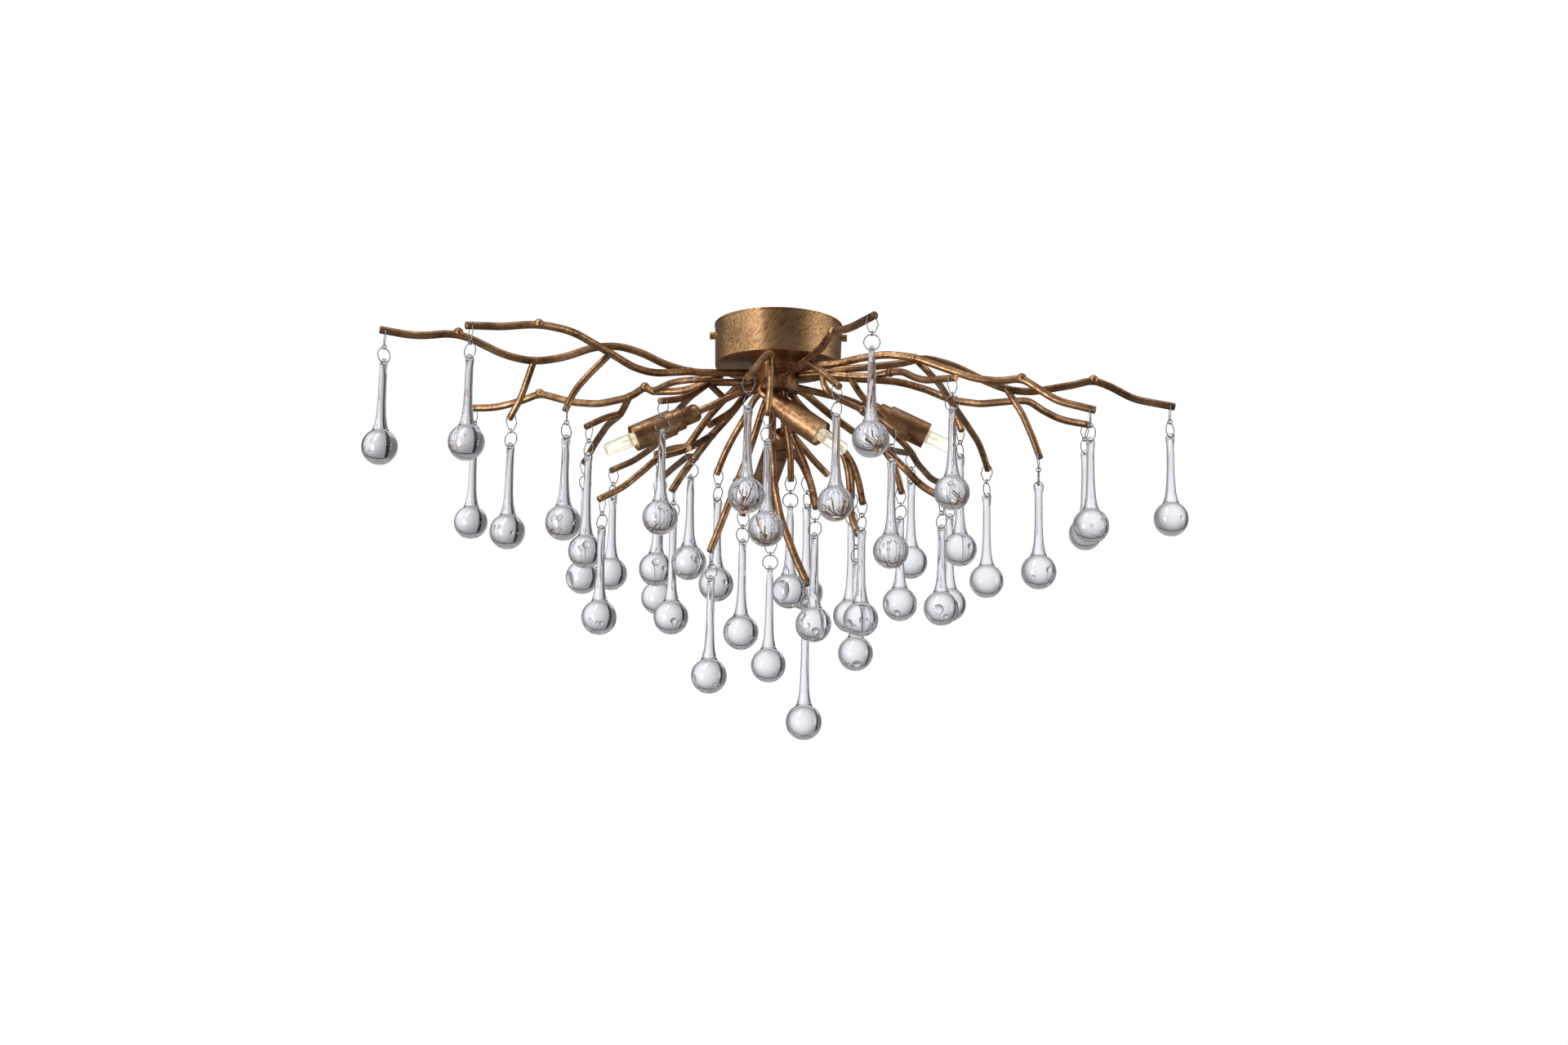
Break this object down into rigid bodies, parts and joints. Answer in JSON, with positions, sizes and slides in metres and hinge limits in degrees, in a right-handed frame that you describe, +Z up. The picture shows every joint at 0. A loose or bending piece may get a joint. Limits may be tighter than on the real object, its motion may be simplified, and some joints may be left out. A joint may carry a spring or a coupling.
{
  "type": "flush mount ceiling light",
  "caption": "Ceiling light with a round canopy, a burst of forked twig-like metal rods, clear glass drops hung from the rod tips on wire links, and capsule lamps in metal sleeves.",
  "frame": {"origin": "centre of the canopy's top rim, on the ceiling plane, which is also the middle of the ceiling screws' pattern", "axes": "+Z up towards the ceiling, -Y towards the front as pictured, +X to the right along the longest spread of the rods"},
  "size_m": [0.9147, 0.5834, 0.483],
  "materials": {
    "patinated_metal": "satin, brushed gold over dark brown",
    "zinc_plate": "zinc plated",
    "turned_brass": "turned and knurled",
    "chain_wire": "bright wire",
    "drop_glass": "clear, hand drawn",
    "bulb_glass": "clear",
    "socket_ceramic": "glazed",
    "block_plastic": "moulded"
  },
  "bodies": {
    "fixture": {"left_branches": "patinated_metal", "lower_branches": "patinated_metal", "right_branches": "patinated_metal", "front_branches": "patinated_metal", "canopy": "patinated_metal", "ceiling_bracket": "zinc_plate", "thumb_screws": "turned_brass", "terminal_block": "block_plastic", "hub": "patinated_metal", "hub_screws": "zinc_plate", "lamp_holders": "patinated_metal", "lamp_sockets": "socket_ceramic", "tip_bails": "chain_wire", "jump_rings": "chain_wire", "drop_rings": "chain_wire"},
    "drop_01": {"glass_drop_01": "drop_glass"},
    "drop_02": {"glass_drop_02": "drop_glass"},
    "drop_03": {"glass_drop_03": "drop_glass"},
    "drop_04": {"glass_drop_04": "drop_glass"},
    "drop_05": {"glass_drop_05": "drop_glass"},
    "drop_06": {"glass_drop_06": "drop_glass"},
    "drop_07": {"glass_drop_07": "drop_glass"},
    "drop_08": {"glass_drop_08": "drop_glass"},
    "drop_09": {"glass_drop_09": "drop_glass"},
    "drop_10": {"glass_drop_10": "drop_glass"},
    "drop_11": {"glass_drop_11": "drop_glass"},
    "drop_12": {"glass_drop_12": "drop_glass"},
    "drop_13": {"glass_drop_13": "drop_glass"},
    "drop_14": {"glass_drop_14": "drop_glass"},
    "drop_15": {"glass_drop_15": "drop_glass"},
    "drop_16": {"glass_drop_16": "drop_glass"},
    "drop_17": {"glass_drop_17": "drop_glass"},
    "drop_18": {"glass_drop_18": "drop_glass"},
    "drop_19": {"glass_drop_19": "drop_glass"},
    "drop_20": {"glass_drop_20": "drop_glass"},
    "drop_21": {"glass_drop_21": "drop_glass"},
    "drop_22": {"glass_drop_22": "drop_glass"},
    "drop_23": {"glass_drop_23": "drop_glass"},
    "drop_24": {"glass_drop_24": "drop_glass"},
    "drop_25": {"glass_drop_25": "drop_glass"},
    "drop_26": {"glass_drop_26": "drop_glass"},
    "drop_27": {"glass_drop_27": "drop_glass"},
    "drop_28": {"glass_drop_28": "drop_glass"},
    "drop_29": {"glass_drop_29": "drop_glass"},
    "drop_30": {"glass_drop_30": "drop_glass"},
    "drop_31": {"glass_drop_31": "drop_glass"},
    "drop_32": {"glass_drop_32": "drop_glass"},
    "drop_33": {"glass_drop_33": "drop_glass"},
    "drop_34": {"glass_drop_34": "drop_glass"},
    "drop_35": {"glass_drop_35": "drop_glass"},
    "drop_36": {"glass_drop_36": "drop_glass"},
    "drop_37": {"glass_drop_37": "drop_glass"},
    "drop_38": {"glass_drop_38": "drop_glass"},
    "drop_39": {"glass_drop_39": "drop_glass"},
    "drop_40": {"glass_drop_40": "drop_glass"},
    "drop_41": {"glass_drop_41": "drop_glass"},
    "bulb_1": {"bulb_1": "bulb_glass"},
    "bulb_2": {"bulb_2": "bulb_glass"},
    "bulb_3": {"bulb_3": "bulb_glass"},
    "bulb_4": {"bulb_4": "bulb_glass"}
  },
  "joints": [
    {"name": "drop_01_swing", "type": "hinge", "parent": "fixture", "child": "drop_01", "pos_m": [-0.43021, -0.14855, -0.09558], "axis": [0.6947, 0.7193, 0], "range_deg": [-12, 12]},
    {"name": "drop_02_swing", "type": "hinge", "parent": "fixture", "child": "drop_02", "pos_m": [-0.32945, -0.21781, -0.10941], "axis": [0.766, -0.6428, 0], "range_deg": [-12, 12]},
    {"name": "drop_03_swing", "type": "hinge", "parent": "fixture", "child": "drop_03", "pos_m": [-0.35932, 0.16811, -0.09338], "axis": [0.6428, 0.766, 0], "range_deg": [-12, 12]},
    {"name": "drop_04_swing", "type": "hinge", "parent": "fixture", "child": "drop_04", "pos_m": [-0.29518, -0.06904, -0.16666], "axis": [0.8192, -0.5736, 0], "range_deg": [-12, 12]},
    {"name": "drop_05_swing", "type": "hinge", "parent": "fixture", "child": "drop_05", "pos_m": [-0.23069, -0.114, -0.16846], "axis": [0.5736, 0.8192, 0], "range_deg": [-12, 12]},
    {"name": "drop_06_swing", "type": "hinge", "parent": "fixture", "child": "drop_06", "pos_m": [-0.21692, 0.06711, -0.13989], "axis": [0.6428, -0.766, 0], "range_deg": [-12, 12]},
    {"name": "drop_07_swing", "type": "hinge", "parent": "fixture", "child": "drop_07", "pos_m": [-0.22783, 0.2, -0.1465], "axis": [0.766, 0.6428, 0], "range_deg": [-12, 12]},
    {"name": "drop_08_swing", "type": "hinge", "parent": "fixture", "child": "drop_08", "pos_m": [-0.19731, 0.25729, -0.14262], "axis": [0.5, 0.866, 0], "range_deg": [-12, 12]},
    {"name": "drop_09_swing", "type": "hinge", "parent": "fixture", "child": "drop_09", "pos_m": [-0.19458, -0.00938, -0.24489], "axis": [0.7071, -0.7071, 0], "range_deg": [-12, 12]},
    {"name": "drop_10_swing", "type": "hinge", "parent": "fixture", "child": "drop_10", "pos_m": [-0.12671, -0.07529, -0.14927], "axis": [0.9397, 0.342, 0], "range_deg": [-12, 12]},
    {"name": "drop_11_swing", "type": "hinge", "parent": "fixture", "child": "drop_11", "pos_m": [-0.13587, 0.07967, -0.16861], "axis": [0.2588, 0.9659, 0], "range_deg": [-12, 12]},
    {"name": "drop_12_swing", "type": "hinge", "parent": "fixture", "child": "drop_12", "pos_m": [-0.09562, -0.02124, -0.18723], "axis": [0.9659, -0.2588, 0], "range_deg": [-12, 12]},
    {"name": "drop_13_swing", "type": "hinge", "parent": "fixture", "child": "drop_13", "pos_m": [-0.13804, 0.20933, -0.16579], "axis": [0.6428, 0.766, 0], "range_deg": [-12, 12]},
    {"name": "drop_14_swing", "type": "hinge", "parent": "fixture", "child": "drop_14", "pos_m": [-0.11612, 0.04052, -0.21876], "axis": [0.766, -0.6428, 0], "range_deg": [-12, 12]},
    {"name": "drop_15_swing", "type": "hinge", "parent": "fixture", "child": "drop_15", "pos_m": [-0.06591, 0.03167, -0.19988], "axis": [0.6018, -0.7986, 0], "range_deg": [-12, 12]},
    {"name": "drop_16_swing", "type": "hinge", "parent": "fixture", "child": "drop_16", "pos_m": [-0.07002, -0.03539, -0.30637], "axis": [0.766, -0.6428, 0], "range_deg": [-12, 12]},
    {"name": "drop_17_swing", "type": "hinge", "parent": "fixture", "child": "drop_17", "pos_m": [-0.0362, 0, -0.2554], "axis": [0.8192, 0.5736, 0], "range_deg": [-12, 12]},
    {"name": "drop_18_swing", "type": "hinge", "parent": "fixture", "child": "drop_18", "pos_m": [-0.03066, -0.19917, -0.15569], "axis": [0.5736, -0.8192, 0], "range_deg": [-12, 12]},
    {"name": "drop_19_swing", "type": "hinge", "parent": "fixture", "child": "drop_19", "pos_m": [-0.00949, -0.12898, -0.17311], "axis": [0.866, 0.5, 0], "range_deg": [-12, 12]},
    {"name": "drop_20_swing", "type": "hinge", "parent": "fixture", "child": "drop_20", "pos_m": [-0.005, 0.05776, -0.27276], "axis": [1, 0, 0], "range_deg": [-12, 12]},
    {"name": "drop_21_swing", "type": "hinge", "parent": "fixture", "child": "drop_21", "pos_m": [0.01684, 0.01969, -0.20901], "axis": [1, 0, 0], "range_deg": [-12, 12]},
    {"name": "drop_22_swing", "type": "hinge", "parent": "fixture", "child": "drop_22", "pos_m": [0.03623, 0.08087, -0.19344], "axis": [0.5, 0.866, 0], "range_deg": [-12, 12]},
    {"name": "drop_23_swing", "type": "hinge", "parent": "fixture", "child": "drop_23", "pos_m": [0.04414, -0.07101, -0.26387], "axis": [0.8192, -0.5736, 0], "range_deg": [-12, 12]},
    {"name": "drop_24_swing", "type": "hinge", "parent": "fixture", "child": "drop_24", "pos_m": [0.03553, -0.02534, -0.34057], "axis": [0.7071, 0.7071, 0], "range_deg": [-12, 12]},
    {"name": "drop_25_swing", "type": "hinge", "parent": "fixture", "child": "drop_25", "pos_m": [0.06507, -0.1483, -0.1483], "axis": [0.6428, -0.766, 0], "range_deg": [-12, 12]},
    {"name": "drop_26_swing", "type": "hinge", "parent": "fixture", "child": "drop_26", "pos_m": [0.08875, 0.13503, -0.19965], "axis": [0.8192, 0.5736, 0], "range_deg": [-12, 12]},
    {"name": "drop_27_swing", "type": "hinge", "parent": "fixture", "child": "drop_27", "pos_m": [0.09708, -0.01862, -0.24424], "axis": [0.5446, -0.8387, 0], "range_deg": [-12, 12]},
    {"name": "drop_28_swing", "type": "hinge", "parent": "fixture", "child": "drop_28", "pos_m": [0.09295, 0.03337, -0.26853], "axis": [0.7071, -0.7071, 0], "range_deg": [-12, 12]},
    {"name": "drop_29_swing", "type": "hinge", "parent": "fixture", "child": "drop_29", "pos_m": [0.0991, -0.28675, -0.11311], "axis": [1, 0, 0], "range_deg": [-12, 12]},
    {"name": "drop_30_swing", "type": "hinge", "parent": "fixture", "child": "drop_30", "pos_m": [0.12766, -0.08737, -0.18159], "axis": [0.6428, 0.766, 0], "range_deg": [-12, 12]},
    {"name": "drop_31_swing", "type": "hinge", "parent": "fixture", "child": "drop_31", "pos_m": [0.16144, 0.20936, -0.1293], "axis": [0.5, -0.866, 0], "range_deg": [-12, 12]},
    {"name": "drop_32_swing", "type": "hinge", "parent": "fixture", "child": "drop_32", "pos_m": [0.14387, 0.07569, -0.20736], "axis": [0.7547, -0.6561, 0], "range_deg": [-12, 12]},
    {"name": "drop_33_swing", "type": "hinge", "parent": "fixture", "child": "drop_33", "pos_m": [0.19214, -0.12949, -0.13314], "axis": [0.866, -0.5, 0], "range_deg": [-12, 12]},
    {"name": "drop_34_swing", "type": "hinge", "parent": "fixture", "child": "drop_34", "pos_m": [0.21217, 0.07362, -0.13252], "axis": [0.5, 0.866, 0], "range_deg": [-12, 12]},
    {"name": "drop_35_swing", "type": "hinge", "parent": "fixture", "child": "drop_35", "pos_m": [0.18958, 0.04262, -0.22489], "axis": [0.6428, -0.766, 0], "range_deg": [-12, 12]},
    {"name": "drop_36_swing", "type": "hinge", "parent": "fixture", "child": "drop_36", "pos_m": [0.20515, 0.16272, -0.18221], "axis": [0.7071, 0.7071, 0], "range_deg": [-12, 12]},
    {"name": "drop_37_swing", "type": "hinge", "parent": "fixture", "child": "drop_37", "pos_m": [0.24609, 0.12153, -0.16649], "axis": [0.5, 0.866, 0], "range_deg": [-12, 12]},
    {"name": "drop_38_swing", "type": "hinge", "parent": "fixture", "child": "drop_38", "pos_m": [0.29404, -0.03556, -0.19234], "axis": [0, 1, 0], "range_deg": [-12, 12]},
    {"name": "drop_39_swing", "type": "hinge", "parent": "fixture", "child": "drop_39", "pos_m": [0.34234, -0.1389, -0.16834], "axis": [0.5736, -0.8192, 0], "range_deg": [-12, 12]},
    {"name": "drop_40_swing", "type": "hinge", "parent": "fixture", "child": "drop_40", "pos_m": [0.37007, 0.21658, -0.08714], "axis": [0.6428, 0.766, 0], "range_deg": [-12, 12]},
    {"name": "drop_41_swing", "type": "hinge", "parent": "fixture", "child": "drop_41", "pos_m": [0.44509, -0.01025, -0.12701], "axis": [0.6157, 0.788, 0], "range_deg": [-12, 12]},
    {"name": "bulb_1_pull", "type": "slide", "parent": "fixture", "child": "bulb_1", "axis": [-0.8746, -0.17, -0.454], "range_m": [0, 0.012]},
    {"name": "bulb_2_pull", "type": "slide", "parent": "fixture", "child": "bulb_2", "axis": [0.7505, -0.2881, -0.5948], "range_m": [0, 0.012]},
    {"name": "bulb_3_pull", "type": "slide", "parent": "fixture", "child": "bulb_3", "axis": [0.912, 0.0959, -0.3987], "range_m": [0, 0.012]},
    {"name": "bulb_4_pull", "type": "slide", "parent": "fixture", "child": "bulb_4", "axis": [-0.2387, 0.8325, -0.5], "range_m": [0, 0.012]}
  ]
}
